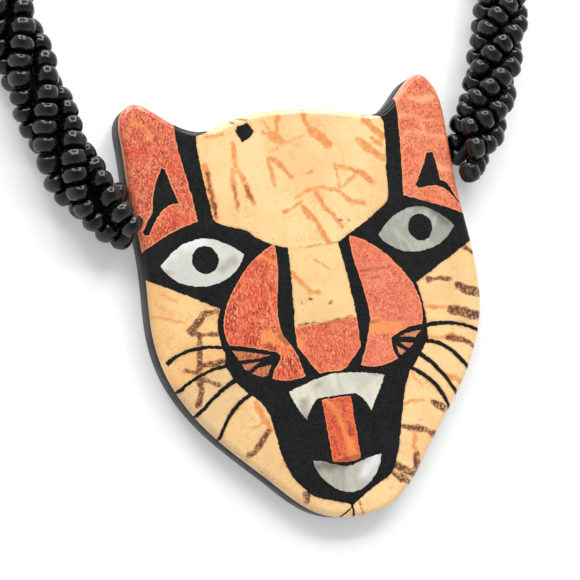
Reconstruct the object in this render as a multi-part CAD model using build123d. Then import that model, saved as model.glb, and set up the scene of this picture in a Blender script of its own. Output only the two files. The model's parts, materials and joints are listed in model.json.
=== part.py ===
from build123d import *
import math
import os

# Jaguar-head inlay pendant on a two-sided torsade of black beads. Millimetres.
# The pendant lies on its back: +X is the right of the face as it is looked at,
# +Y runs from the chin to the ears and +Z out of the face. The origin is the
# middle of the pendant's box, on the surface that it lies on.

# Pendant
mask_width = 52.4
mask_height = 63.9
mask_thickness = 4.8
rim_radius = 0.9
back_chamfer = 0.3

# Inlays, set in pockets that are sunk in the black cast body
inlay_thickness = 1.0
glue_line = 0.05
pupil_diameter = 4.0

# Stringing hole, drilled from ear to ear
bore_diameter = 2.2
bore_height = 2.0
left_bore_y = 15.2
right_bore_y = 18.9
stringing_cord_diameter = 2.0

# Bead ropes: four strands twisted together
rope_diameter = 9.3

# End caps and their eye pins
cap_length = 9.0
cap_mouth_diameter = 9.2
cap_tip_diameter = 2.4
cap_wall = 0.4
wire_diameter = 0.8
eye_loop_diameter = 3.1
cap_to_eye_gap = 0.15
pin_clearance = 0.05
eye_bore_diameter = 2.42

# Jump rings, which stand on edge
ring_diameter = 5.4
ring_wire_diameter = 0.8
ring_split = 0.1
floor_gap = 0.05

# Lobster clasp, which lies flat
claw_thickness = 3.0
claw_eye_outer_diameter = 3.6
claw_eye_hole_diameter = 2.1
claw_eye_thickness = 0.8
housing_radius = 2.5
housing_reach = 4.0
hook_reach = 8.0
hook_outer_radius = 3.1
hook_inner_radius = 1.7
hook_thickness = 2.4
hook_edge_radius = 0.55
hook_sweep = 275.0
housing_edge_radius = 0.6
neck_length = 2.6
neck_width = 1.6
trigger_thickness = 1.3
trigger_side_clearance = 0.06
trigger_boss_radius = 1.0
trigger_pin_diameter = 0.8
pin_running_clearance = 0.04
thumb_tab_radius = 0.6
gate_reach = 5.12
gate_tip_gap = 0.08
gate_side_margin = 0.1
gate_root_angle = 158.0
gate_tip_angle = 50.0
thumb_tab_place = (4.0, 3.7)
lever_root_reach = 3.1
lever_root_drop = 1.85

# The outlines below are drawn on a face of this size and scaled to the pendant
drawn_width = 52.4
drawn_height = 63.9


def scaled(point):
    return (point[0] * mask_width / drawn_width, point[1] * mask_height / drawn_height)


def closed_face(*stations):
    # A pair is a corner; a list of pairs between two corners is a smooth curve.
    edges = []
    start = stations[0]
    via = []
    for station in stations[1:] + stations[:1]:
        if isinstance(station, list):
            via = station
            continue
        points = [scaled(point) for point in [start, *via, station]]
        edges.append(Spline(*points) if via else Line(*points))
        start = station
        via = []
    return make_face(edges)


def disc(centre, diameter):
    return Pos(*scaled(centre)) * Circle(diameter / 2)


# ---------------------------------------------------------------- pendant blank
face_outline = [
    (0.3, -35.0), (6.3, -33.8), (13.9, -26.2), (21.6, -16.8), (25.4, -9.0),
    (26.3, -1.0), (25.8, 6.5), (25.4, 14.0), (25.4, 21.5), (24.5, 26.8),
    (22.4, 28.9), (20.0, 27.9), (17.3, 25.3), (14.4, 23.5), (10.0, 23.9),
    (0.0, 25.2), (-9.0, 24.3), (-14.0, 23.1), (-17.6, 24.4), (-21.0, 26.9),
    (-23.6, 27.9), (-25.1, 26.9), (-25.9, 22.5), (-25.9, 14.5), (-25.4, 7.0),
    (-25.6, 0.5), (-25.8, -5.0), (-24.9, -10.5), (-19.6, -20.0), (-12.0, -28.0),
    (-5.6, -33.6),
]


def make_blank():
    outline = make_face(Spline(*[scaled(point) for point in face_outline], periodic=True))
    solid = extrude(outline, mask_thickness)
    front_edges = solid.edges().filter_by_position(Axis.Z, mask_thickness, mask_thickness)
    solid = fillet(front_edges, rim_radius)
    back_edges = solid.edges().filter_by_position(Axis.Z, 0, 0)
    return outline, chamfer(back_edges, back_chamfer)


# ---------------------------------------------------------------- inlay outlines
# Outlines that reach the rim run on past it, and the blank trims them.

inlays = {}

inlays["left_ear"] = closed_face(
    (-18.05, 32.0), (-18.0, 21.0), [(-17.4, 16.5)], (-16.75, 10.05),
    [(-20.5, 9.1), (-24.2, 7.4)], (-28.0, 5.6), (-29.0, 32.0),
) - closed_face(
    (-20.9, 18.3), (-20.3, 17.9), [(-19.8, 15.6)], (-19.0, 12.85),
    [(-20.6, 12.8), (-22.6, 11.3)], (-24.2, 8.9), (-24.9, 9.0), (-25.0, 9.5),
    [(-24.1, 10.9)], (-23.15, 12.1), [(-22.6, 14.6)], (-21.5, 17.1),
)

inlays["right_ear"] = closed_face(
    (17.5, 32.0), (17.45, 24.0), [(16.8, 17.0)], (15.95, 10.6),
    [(18.5, 9.6), (22.0, 8.3)], (28.0, 5.4), (29.0, 32.0),
) - closed_face(
    (21.2, 16.6), (22.1, 16.6), [(22.4, 14.5)], (22.5, 12.3),
    [(23.6, 11.5), (24.4, 9.9)], (25.2, 8.5), (24.8, 8.4),
    [(23.4, 10.5), (21.4, 11.5), (19.8, 11.45)], (18.8, 11.35), (18.25, 11.9),
    [(19.4, 13.5)], (20.8, 16.0),
)

inlays["forehead"] = closed_face(
    (-12.9, 30.0), (-13.0, 22.85), (-14.95, 22.3), (-15.1, 20.5), (-14.4, 10.2),
    (-14.0, 9.7), (-9.4, 7.7), (-8.7, 7.0), (-4.05, 4.85), (4.3, 4.8),
    (12.7, 9.6), [(13.4, 10.5)], (13.6, 11.6), (14.75, 21.6), [(14.3, 22.8)],
    (13.4, 23.0), (13.3, 30.0),
) - closed_face(
    (-8.9, 22.6), (-8.4, 23.3), (-6.8, 23.6), (-6.1, 22.3), (-6.9, 21.4), (-8.1, 20.8),
)

inlays["nose_bridge"] = closed_face(
    (-3.85, 4.8), [(-4.3, -1.5)], (-4.85, -6.85), (5.0, -6.45), [(4.75, -1.5)], (4.1, 4.75),
)

inlays["nose_tip"] = closed_face(
    (-4.85, -6.85), (-4.95, -9.6), (-2.5, -13.6), [(-2.2, -13.85)], (-1.9, -13.85),
    (1.4, -13.95), [(3.4, -12.4)], (4.85, -10.7), (5.0, -6.45),
)

inlays["left_muzzle"] = closed_face(
    (-5.85, 5.55), [(-6.5, -0.8), (-7.15, -5.6)], (-6.95, -7.4), (-5.6, -9.8),
    (-4.45, -13.9), [(-6.9, -14.2)], (-9.6, -13.55), (-8.9, -12.2), (-8.0, -11.2),
    [(-7.8, -10.6)], (-8.15, -10.0), [(-11.8, -8.8)], (-15.1, -7.95),
    [(-15.55, -5.6), (-14.3, -2.0), (-12.0, 1.2), (-9.2, 3.8)],
)

inlays["right_muzzle"] = closed_face(
    (6.05, 5.5), [(6.5, -0.6), (7.15, -5.4)], (7.1, -7.0), (6.0, -10.2),
    (4.3, -13.6), [(6.8, -14.15)], (10.4, -13.45), (9.9, -12.0), (9.95, -10.3),
    [(12.2, -9.35)], (15.25, -8.95),
    [(15.75, -6.2), (14.6, -2.2), (12.4, 1.0), (9.4, 3.8)],
)

inlays["left_sliver_upper"] = closed_face(
    (-14.9, -8.75), (-12.3, -9.35), (-9.3, -10.25), (-11.5, -10.4), (-14.15, -10.3),
)
inlays["left_sliver_middle"] = closed_face(
    (-13.8, -10.85), (-11.0, -10.95), (-12.9, -11.85), (-13.4, -11.7),
)
inlays["left_sliver_lower"] = closed_face(
    (-12.6, -12.4), (-11.4, -11.8), (-9.4, -11.55), (-10.2, -13.0), (-10.9, -13.2),
)
inlays["right_sliver_upper"] = closed_face(
    (14.9, -9.85), (12.6, -9.95), (11.3, -10.3), (13.9, -10.75),
)
inlays["right_sliver_middle"] = closed_face(
    (11.2, -11.1), (13.3, -11.55), (12.6, -12.15), (12.1, -11.95),
)
inlays["right_sliver_lower"] = closed_face(
    (10.5, -11.5), (11.9, -12.6), (11.1, -13.1), (10.7, -12.7),
)

inlays["left_eye"] = closed_face(
    (-23.3, 4.4), [(-20.4, 6.6), (-17.0, 7.6), (-13.4, 6.6)], (-10.65, 4.6),
    [(-13.4, 1.7), (-17.2, 0.75), (-21.0, 1.8)],
) - disc((-16.6, 4.5), pupil_diameter)

inlays["right_eye"] = closed_face(
    (10.8, 5.05), [(13.6, 7.5), (17.5, 8.65), (21.2, 7.3)], (23.5, 5.05),
    [(21.2, 3.0), (17.5, 1.9), (13.2, 2.7)],
) - disc((17.8, 5.45), pupil_diameter)

inlays["upper_teeth"] = closed_face(
    (-7.4, -15.8), [(-4.2, -14.9)], (-0.4, -14.15), [(3.8, -14.6)], (7.9, -15.5),
    [(6.6, -17.5)], (4.7, -20.35), [(3.8, -18.4)], (2.7, -17.45), (-3.2, -17.35),
    [(-4.4, -18.4)], (-5.4, -20.1), [(-6.5, -18.3)],
)
inlays["tongue"] = closed_face(
    (-2.65, -17.65), (1.9, -17.75), (1.85, -26.85), [(-0.4, -27.0)], (-2.5, -26.6),
)
inlays["lower_teeth"] = closed_face(
    (-5.5, -25.95), [(-3.2, -26.7), (-0.6, -27.6), (2.4, -27.1)], (5.1, -26.75),
    [(3.5, -29.7), (0.1, -31.35), (-3.5, -29.9)],
)

inlays["left_cheek"] = closed_face(
    (-29.0, 4.4), (-25.3, 2.5), (-21.3, 0.4), (-15.65, -2.7), (-16.4, -5.0),
    (-16.35, -7.85), [(-20.0, -7.55), (-23.0, -8.15)], (-24.85, -9.05),
    (-24.55, -9.65), [(-22.4, -8.45), (-19.6, -8.05)], (-16.25, -8.3),
    (-16.0, -9.2), (-16.3, -10.6), [(-20.0, -11.3), (-22.6, -12.45)], (-29.0, -15.9),
)
inlays["left_stripe_upper"] = closed_face(
    (-28.6, -16.3), (-23.0, -13.3), [(-19.6, -11.65)], (-16.15, -11.1), (-15.4, -12.75),
    [(-17.6, -13.9)], (-20.4, -15.9), (-27.0, -20.4),
)
inlays["left_stripe_lower"] = closed_face(
    (-26.6, -20.8), (-20.1, -16.4), [(-17.6, -14.6)], (-15.1, -13.35), (-13.5, -15.05),
    [(-16.0, -16.6)], (-17.9, -18.8), (-22.4, -25.6),
)
inlays["left_jaw"] = closed_face(
    (-21.9, -26.0), (-17.5, -19.1), [(-15.3, -16.8)], (-12.9, -15.55),
    [(-11.0, -18.4), (-10.1, -24.6), (-8.2, -29.0)], (-6.6, -30.7), (-0.95, -33.1),
    (-1.0, -33.5), (-4.2, -35.2), (-6.0, -38.0), (-20.0, -38.0),
)
inlays["chin_wedge"] = closed_face(
    (-0.85, -33.6), (-0.85, -39.0), (-5.2, -39.0), (-3.1, -35.0),
)
inlays["right_cheek"] = closed_face(
    (29.0, 4.2), (26.0, 2.6), (21.2, 0.1), (15.55, -2.65), [(16.1, -6.2)],
    (16.1, -8.95), [(20.0, -9.15), (23.4, -10.3)], (28.4, -13.0),
)
inlays["right_stripe_upper"] = closed_face(
    (28.2, -13.5), (24.5, -11.5), [(22.4, -10.4), (19.4, -9.65)], (16.0, -9.55),
    (15.85, -11.25), [(18.6, -12.5), (20.6, -14.5)], (25.2, -20.8),
)
inlays["right_stripe_middle"] = closed_face(
    (24.8, -21.2), (20.3, -15.2), [(18.2, -12.95)], (15.4, -11.8), (14.35, -13.05),
    [(16.7, -15.5)], (18.6, -18.6), (22.4, -25.0),
)
inlays["right_stripe_lower"] = closed_face(
    (22.0, -25.4), (18.1, -18.9), [(16.2, -15.9)], (13.85, -13.65), (12.65, -14.95),
    [(15.8, -17.8)], (17.4, -21.0), (19.4, -27.6),
)
inlays["right_jaw"] = closed_face(
    (18.9, -27.8), (16.9, -21.2), [(15.2, -18.1)], (12.05, -15.35),
    [(10.1, -19.8), (8.5, -25.0)], (7.0, -28.6), (6.2, -29.9),
    [(3.0, -31.3)], (-0.1, -33.0), (-0.5, -33.3), (-0.5, -39.0), (14.0, -39.0),
)


def make_pendant():
    outline, blank = make_blank()
    floor = mask_thickness - inlay_thickness - glue_line
    seat = mask_thickness - inlay_thickness
    body = blank
    pieces = {}
    for name, face in inlays.items():
        body = body - extrude(Pos(0, 0, floor) * face, mask_thickness)
        pieces[name] = extrude(Pos(0, 0, seat) * face, mask_thickness) & blank
    return outline, blank, body, pieces


# ---------------------------------------------------------------- ropes
# Each route starts just inside the wall and runs along the surface it lies on.

left_route = [
    (-24.8, 13.35), (-30.5, 16.35), (-33.85, 21.9), (-35.7, 28.9), (-37.6, 36.6),
    (-39.7, 45.8), (-42.2, 58.0), (-44.0, 76.0), (-44.6, 95.0), (-43.0, 113.5),
    (-38.4, 131.0), (-31.0, 147.0), (-21.5, 159.5),
]
right_route = [
    (24.6, 18.1), (29.4, 21.4), (32.8, 26.4), (35.3, 32.4), (37.9, 39.6),
    (40.7, 48.6), (43.6, 60.6), (45.4, 78.4), (45.5, 97.0), (43.0, 115.2),
    (37.8, 132.0), (30.0, 147.2), (20.4, 159.4),
]


def corner_radii(points):
    radii = []
    for before, corner, after in zip(points, points[1:], points[2:]):
        arriving = Vector(*corner) - Vector(*before)
        leaving = Vector(*after) - Vector(*corner)
        half_turn = math.radians(arriving.get_angle(leaving)) / 2
        radii.append(0.45 * min(arriving.length, leaving.length) / math.tan(half_turn))
    return radii


def make_rope(name, points, wall):
    route = FilletPolyline(*points, radius=corner_radii(points))
    lifted = Pos(0, 0, rope_diameter / 2) * route
    section = Plane(lifted @ 0, z_dir=lifted % 0) * Circle(rope_diameter / 2)
    rope = sweep(section, path=lifted)
    expected = math.pi * rope_diameter ** 2 / 4 * lifted.length
    print(name, "radii", [round(radius, 1) for radius in corner_radii(points)])
    print(name, "length", round(lifted.length, 1), "volume ratio", round(rope.volume / expected, 4))
    return rope - wall


def route_end(points):
    # A frame at the far end of a route, with its x direction along the rope.
    along = Vector(*points[-1]) - Vector(*points[-2])
    return Plane(origin=(*points[-1], rope_diameter / 2), x_dir=along, z_dir=(0, 0, 1))


# ---------------------------------------------------------------- end fittings
wire_radius = wire_diameter / 2
eye_radius = eye_loop_diameter / 2
eye_centre = cap_length + cap_to_eye_gap + eye_radius + wire_radius
inner_loop_radius = 0.95


def make_cap():
    mouth = cap_mouth_diameter / 2
    tip = cap_tip_diameter / 2
    hole = wire_radius + pin_clearance
    edges = [
        Spline((0, mouth), (0.3 * cap_length, 0.92 * mouth), (0.65 * cap_length, 0.6 * mouth),
               (cap_length, tip)),
        Line((cap_length, tip), (cap_length, hole)),
        Line((cap_length, hole), (cap_length - 2 * cap_wall, hole)),
        Spline((cap_length - 2 * cap_wall, hole), (0.6 * cap_length, 0.6 * mouth - cap_wall),
               (0.28 * cap_length, 0.92 * mouth - cap_wall), (0, mouth - cap_wall)),
        Line((0, mouth - cap_wall), (0, mouth)),
    ]
    return revolve(make_face(edges), Axis.X)


def make_eye_pin():
    shank_start = 2 * inner_loop_radius + wire_radius
    shank_end = eye_centre - eye_radius
    shank = Plane(origin=(shank_start, 0, 0), z_dir=(1, 0, 0)) * Cylinder(
        wire_radius, shank_end - shank_start, align=(Align.CENTER, Align.CENTER, Align.MIN))
    inner_loop = Pos(inner_loop_radius + wire_radius, 0, 0) * Torus(inner_loop_radius, wire_radius)
    outer_loop = Pos(eye_centre, 0, 0) * Torus(eye_radius, wire_radius)
    bore = Pos(eye_centre, 0, 0) * Cylinder(eye_bore_diameter / 2, 2 * wire_diameter)
    return inner_loop + shank + (outer_loop - bore)


# ---------------------------------------------------------------- rings and clasp
ring_radius = ring_diameter / 2
ring_wire_radius = ring_wire_diameter / 2
ring_centre_height = floor_gap + ring_radius + ring_wire_radius
claw_eye_height = floor_gap + claw_thickness / 2


def crossing_distance(height):
    # How far from its middle a standing ring passes through a level plane.
    return math.sqrt(ring_radius ** 2 - (height - ring_centre_height) ** 2)


cap_side_crossing = crossing_distance(rope_diameter / 2)
claw_side_crossing = crossing_distance(claw_eye_height)


def make_ring():
    # Hinged at the origin, where it passes through a cap's eye.
    standing = Rot(90, 0, 0) * Torus(ring_radius, ring_wire_radius)
    split = Pos(0, 0, ring_radius) * Box(ring_split, ring_diameter, ring_radius)
    return Pos(cap_side_crossing, 0, ring_centre_height) * (standing - split)


trigger_pivot = (3.7, 1.3)
slot_height = trigger_thickness + 2 * trigger_side_clearance
slot_depth = 1.2
slot_reach = 4.0


def sector(inner, outer, start, end):
    # A flat band between two radii and two angles about the hook's middle.
    band = Circle(outer) - Circle(inner)
    reach = 3 * outer
    corners = [(0, 0)]
    steps = 6
    for step in range(steps + 1):
        angle = math.radians(start + (end - start) * step / steps)
        corners.append((reach * math.cos(angle), reach * math.sin(angle)))
    return Pos(hook_reach, 0) * (band & make_face(Polyline(*corners, close=True)))


def level_extrude(face, height):
    # Extrudes a flat outline evenly above and below the claw's middle plane.
    return extrude(Pos(0, 0, claw_eye_height) * face, height / 2, both=True)


def beyond_tip(reach):
    # The space inside a circle about the trigger's pivot, above the hook's middle.
    upper = Pos(hook_reach, trigger_pivot[1] + reach) * Rectangle(4 * reach, 2 * reach)
    return (Pos(*trigger_pivot) * Circle(reach)) & upper


def make_claw():
    hook_middle_radius = (hook_outer_radius + hook_inner_radius) / 2
    section = Plane.XZ * Pos(-hook_middle_radius, 0) * RectangleRounded(
        hook_outer_radius - hook_inner_radius, hook_thickness, hook_edge_radius)
    hook = Pos(hook_reach, 0, claw_eye_height) * revolve(section, Axis.Z, hook_sweep)
    hook = hook - level_extrude(beyond_tip(gate_reach + gate_tip_gap), 2 * claw_thickness)
    housing = Pos(housing_reach, 0, claw_eye_height) * Cylinder(housing_radius, claw_thickness)
    housing = fillet(housing.edges().filter_by(GeomType.CIRCLE), housing_edge_radius)
    housing = housing - level_extrude(Pos(hook_reach, 0) * Circle(hook_inner_radius), 2 * claw_thickness)
    neck = level_extrude(Pos(claw_eye_outer_diameter / 2, 0) * Rectangle(neck_length, neck_width),
                         claw_eye_thickness)
    eye = level_extrude(Circle(claw_eye_outer_diameter / 2), claw_eye_thickness)
    claw = hook + housing + neck + eye
    claw = claw - level_extrude(Circle(claw_eye_hole_diameter / 2), 2 * claw_thickness)
    slot = Pos(housing_reach, trigger_pivot[1] + slot_reach / 2 - slot_depth)
    claw = claw - level_extrude(slot * Rectangle(3 * housing_radius, slot_reach), slot_height)
    swept = Pos(*trigger_pivot) * Circle(lever_root_reach)
    swept = swept & (Pos(trigger_pivot[0] + lever_root_reach / 2, trigger_pivot[1])
                     * Rectangle(lever_root_reach, 2 * lever_root_drop))
    claw = claw - level_extrude(swept, slot_height)
    pin_hole = Pos(*trigger_pivot) * Circle(trigger_pin_diameter / 2)
    return claw - level_extrude(pin_hole, 2 * claw_thickness)


def make_trigger():
    gate = sector(hook_inner_radius + gate_side_margin, hook_outer_radius - gate_side_margin,
                  gate_tip_angle, gate_root_angle)
    gate = gate & (Pos(*trigger_pivot) * Circle(gate_reach))
    boss = Pos(*trigger_pivot) * Circle(trigger_boss_radius)
    arm = make_face(Polyline(
        trigger_pivot, (5.6, 0.8), (5.6, 2.0), (4.6, 3.5), (3.4, 3.9), (3.0, 2.2), close=True))
    tab = Pos(*thumb_tab_place) * Circle(thumb_tab_radius)
    lever = level_extrude(gate + boss + arm + tab, trigger_thickness)
    bore = Pos(*trigger_pivot) * Circle(trigger_pin_diameter / 2 + pin_running_clearance)
    return lever - level_extrude(bore, 2 * claw_thickness)


def make_pivot_pin():
    return level_extrude(Pos(*trigger_pivot) * Circle(trigger_pin_diameter / 2), claw_thickness)


def turned(frame, direction):
    # The same origin as a frame, with x at a given direction in degrees.
    return Plane(origin=frame.origin, x_dir=(math.cos(math.radians(direction)),
                                             math.sin(math.radians(direction)), 0))


left_ring_direction = 40.0
claw_direction = 10.0
tail_ring_direction = 140.0


def at_floor(frame, along):
    # The point on the floor below a point on a frame's x direction.
    point = frame.origin + frame.x_dir * along
    return Plane(origin=(point.X, point.Y, 0), x_dir=frame.x_dir)


# ---------------------------------------------------------------- assembly
outline, blank, body, pieces = make_pendant()
middle = blank.bounding_box().center()
to_origin = Pos(-middle.X, -middle.Y, 0)

parts = {name: to_origin * piece for name, piece in pieces.items()}
wall_line = to_origin * outline
wall = Pos(0, 0, -1) * extrude(wall_line, 3 * rope_diameter)

half_width = blank.bounding_box().size.X / 2
bore_start = Vector(-half_width - 2, left_bore_y, bore_height)
bore_end = Vector(half_width + 2, right_bore_y, bore_height)
bore_plane = Plane(origin=bore_start, z_dir=bore_end - bore_start)
bore_length = (bore_end - bore_start).length
from_start = (Align.CENTER, Align.CENTER, Align.MIN)
bore = bore_plane * Cylinder(bore_diameter / 2, bore_length, align=from_start)
cord = bore_plane * Cylinder(stringing_cord_diameter / 2, bore_length, align=from_start)

parts["resin_body"] = to_origin * body - bore
parts["stringing_cord"] = cord & extrude(wall_line, mask_thickness)
parts["left_rope"] = make_rope("left_rope", left_route, wall)
parts["right_rope"] = make_rope("right_rope", right_route, wall)

left_end = route_end(left_route)
right_end = route_end(right_route)
parts["left_end_cap"] = left_end * make_cap()
parts["right_end_cap"] = right_end * make_cap()
parts["left_eye_pin"] = left_end * make_eye_pin()
parts["right_eye_pin"] = right_end * make_eye_pin()

ring_frame = turned(at_floor(left_end, eye_centre), left_ring_direction)
claw_frame = turned(at_floor(ring_frame, cap_side_crossing + claw_side_crossing), claw_direction)
tail_frame = turned(at_floor(right_end, eye_centre), tail_ring_direction)
parts["clasp_ring"] = ring_frame * make_ring()
parts["tail_ring"] = tail_frame * make_ring()
parts["clasp_claw"] = claw_frame * make_claw()
parts["clasp_trigger"] = claw_frame * make_trigger()
parts["clasp_pivot_pin"] = claw_frame * make_pivot_pin()

trigger_axis = claw_frame.from_local_coords(Vector(*trigger_pivot, 0))
for label, point in [("clasp ring hinge", ring_frame.origin), ("claw hinge", claw_frame.origin),
                     ("trigger pivot", trigger_axis), ("tail ring hinge", tail_frame.origin)]:
    print(label, [round(value, 3) for value in point])

os.makedirs("parts", exist_ok=True)
for name, part in parts.items():
    export_step(part, f"parts/{name}.step")
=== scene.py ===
import json
import math

import bpy
import numpy as np
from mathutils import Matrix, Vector
from mathutils.geometry import delaunay_2d_cdt


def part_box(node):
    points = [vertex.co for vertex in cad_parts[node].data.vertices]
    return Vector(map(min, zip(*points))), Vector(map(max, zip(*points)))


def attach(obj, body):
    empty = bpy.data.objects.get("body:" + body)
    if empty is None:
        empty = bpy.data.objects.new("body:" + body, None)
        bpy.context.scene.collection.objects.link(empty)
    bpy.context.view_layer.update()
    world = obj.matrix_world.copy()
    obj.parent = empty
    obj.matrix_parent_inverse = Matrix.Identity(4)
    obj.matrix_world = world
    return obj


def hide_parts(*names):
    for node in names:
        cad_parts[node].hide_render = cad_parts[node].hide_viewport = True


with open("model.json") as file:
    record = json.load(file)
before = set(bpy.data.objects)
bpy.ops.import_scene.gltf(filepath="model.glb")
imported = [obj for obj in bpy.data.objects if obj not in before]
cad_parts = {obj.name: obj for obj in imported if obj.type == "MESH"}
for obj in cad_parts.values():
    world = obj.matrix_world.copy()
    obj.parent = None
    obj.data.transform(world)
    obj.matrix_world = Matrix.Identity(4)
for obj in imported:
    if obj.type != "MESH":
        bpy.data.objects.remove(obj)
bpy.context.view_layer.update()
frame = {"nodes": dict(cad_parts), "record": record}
nodes = frame["nodes"]
slots = {row["node"]: row["material_slot"] for row in frame["record"]["subparts"]}
mm = 0.001
print("frame loaded")

# The face is drawn about the middle of its brow; this is that point in the row frame, in mm.
drawingOrigin = np.array([-0.186, 3.061])

# Camera: place in mm, turn in degrees.
cameraSet = {"place": (-87.74, -17.63, 211.37), "turn": (8.73, -20.71, -10.33), "lens": 96.2}
cameraData = bpy.data.cameras.new("camera")
cameraData.lens = cameraSet["lens"]
cameraData.clip_start = 0.01
camera = bpy.data.objects.new("camera", cameraData)
camera.location = Vector(cameraSet["place"]) * mm
camera.rotation_euler = [math.radians(angle) for angle in cameraSet["turn"]]
bpy.context.scene.collection.objects.link(camera)
bpy.context.scene.camera = camera
bpy.context.scene.view_settings.view_transform = "Standard"


# Shader helpers: addNode gives the node itself, and the others give the socket that carries their result.
def connect(made, values):
    # Each input takes a link from a socket, or a constant.
    for key, value in values.items():
        if isinstance(value, bpy.types.NodeSocket):
            made.id_data.links.new(value, made.inputs[key])
        else:
            made.inputs[key].default_value = value


def addNode(tree, kind, inputs=None, **settings):
    # A node with its settings made first, since they decide which inputs it has.
    made = tree.nodes.new(kind)
    for name, value in settings.items():
        setattr(made, name, value)
    connect(made, inputs or {})
    return made


# Those that are given a socket work in that socket's own node tree.
def calc(operation, a, b=0.0):
    return addNode(a.id_data, "ShaderNodeMath", {0: a, 1: b}, operation=operation).outputs[0]


def product(a, b):
    return calc("MULTIPLY", a, b)


def linear(colour):
    # A screen colour, 0 to 255, as the linear colour that a shader takes.
    part = np.array(colour) / 255
    return (*np.where(part <= 0.04045, part / 12.92, ((part + 0.055) / 1.055) ** 2.4), 1.0)


def mixed(factor, a, b):
    # a where the factor is 0, b where it is 1.
    return addNode(factor.id_data, "ShaderNodeMix", {0: factor, 6: a, 7: b}, data_type="RGBA").outputs[2]


def tinted(colour, share, tone):
    # Lays a share of a screen colour over a colour.
    return mixed(share, colour, linear(tone))


def toned(value, low, high, start, end):
    # Runs from one screen colour to another while a value goes from low to high.
    return mixed(spread(value, low, high), linear(start), linear(end))


def spread(value, low, high, start=0.0, end=1.0):
    # Goes smoothly from start to end as value goes from low to high.
    return addNode(value.id_data, "ShaderNodeMapRange", {0: value, 1: low, 2: high, 3: start, 4: end},
                   interpolation_type="SMOOTHSTEP").outputs[0]


def inMillimetres(tree, stretch=(1, 1, 1), turn=0.0):
    # The place on the object in mm, stretched and turned about the upright.
    place = addNode(tree, "ShaderNodeTexCoord").outputs["Object"]
    return addNode(tree, "ShaderNodeMapping", {
        0: place, 2: (0, 0, math.radians(turn)), 3: tuple(1000 * share for share in stretch)}).outputs[0]


def noise(place, scale, detail=3.0, roughness=0.5, distortion=0.0):
    # Fractal noise from 0 to 1, with scale waves to the mm.
    return addNode(place.id_data, "ShaderNodeTexNoise", {
        "Vector": place, "Scale": scale, "Detail": detail, "Roughness": roughness,
        "Distortion": distortion}).outputs[0]


def folded(place, *settings):
    # Noise folded at its middle: zero along thin winding lines.
    return calc("ABSOLUTE", calc("SUBTRACT", noise(place, *settings), 0.5))


def attribute(tree, name):
    # A number that floatAttribute gave to the vertices.
    return addNode(tree, "ShaderNodeAttribute", attribute_name=name).outputs["Fac"]


def newMaterial(name):
    # Gives the material, its node tree and its shader.
    made = bpy.data.materials.new(name)
    made.use_nodes = True
    return made, made.node_tree, made.node_tree.nodes["Principled BSDF"]


def finishMaterial(surface, colour, roughness, bumpHeight=None, bumpDistance=0.00002, **others):
    # Links or constants on the shader's own inputs. The bump's distance is in m.
    connect(surface, {"Base Color": colour, "Roughness": roughness, **others})
    if bumpHeight is not None:
        bump = addNode(surface.id_data, "ShaderNodeBump", {"Height": bumpHeight, "Distance": bumpDistance})
        connect(surface, {"Normal": bump.outputs[0]})


# Mesh helpers.
def readOut(items, key, kind=np.float32):
    # Threes of numbers from a mesh, as the rows of an array.
    values = np.zeros(len(items) * 3, kind)
    items.foreach_get(key, values)
    return values.reshape(-1, 3)


def meshFrom(name, vertices, groups):
    # Makes a smooth piece from vertices in mm and a list of face arrays, each with faces of one size.
    corners = np.concatenate([group.reshape(-1) for group in groups]).astype(np.int32)
    sizes = np.concatenate([np.full(len(group), group.shape[1]) for group in groups]).astype(np.int32)
    data = bpy.data.meshes.new(name)
    data.vertices.add(len(vertices))
    data.vertices.foreach_set("co", (np.asarray(vertices) * mm).astype(np.float32).reshape(-1))
    data.loops.add(len(corners))
    data.loops.foreach_set("vertex_index", corners)
    data.polygons.add(len(sizes))
    data.polygons.foreach_set("loop_start", np.concatenate([[0], np.cumsum(sizes)[:-1]]).astype(np.int32))
    data.update(calc_edges=True)
    data.validate()
    data.polygons.foreach_set("use_smooth", np.full(len(data.polygons), True))
    made = bpy.data.objects.new(name, data)
    bpy.context.scene.collection.objects.link(made)
    return made


def floatAttribute(piece, name, values):
    # One number for each vertex, for the materials to read.
    made = piece.data.attributes.new(name, "FLOAT", "POINT")
    made.data.foreach_set("value", np.asarray(values, np.float32))


def softNoise(x, y, size, seed):
    # Smooth noise from -1 to 1 whose features are about size across: random values on a lattice that
    # repeats, blended by a smooth step between each four.
    count = 64
    lattice = np.random.default_rng(seed).uniform(-1, 1, (count, count))
    u, v = x / size, y / size
    i, j = np.floor(u).astype(int), np.floor(v).astype(int)
    fu, fv = u - i, v - j
    fu, fv = fu * fu * (3 - 2 * fu), fv * fv * (3 - 2 * fv)
    i, j, nextI, nextJ = i % count, j % count, (i + 1) % count, (j + 1) % count
    near = lattice[i, j] * (1 - fu) + lattice[nextI, j] * fu
    far = lattice[i, nextJ] * (1 - fu) + lattice[nextI, nextJ] * fu
    return near * (1 - fv) + far * fv


def unit(vectors):
    # Vectors over their own lengths.
    return vectors / np.linalg.norm(vectors, axis=-1)[..., None]


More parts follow.
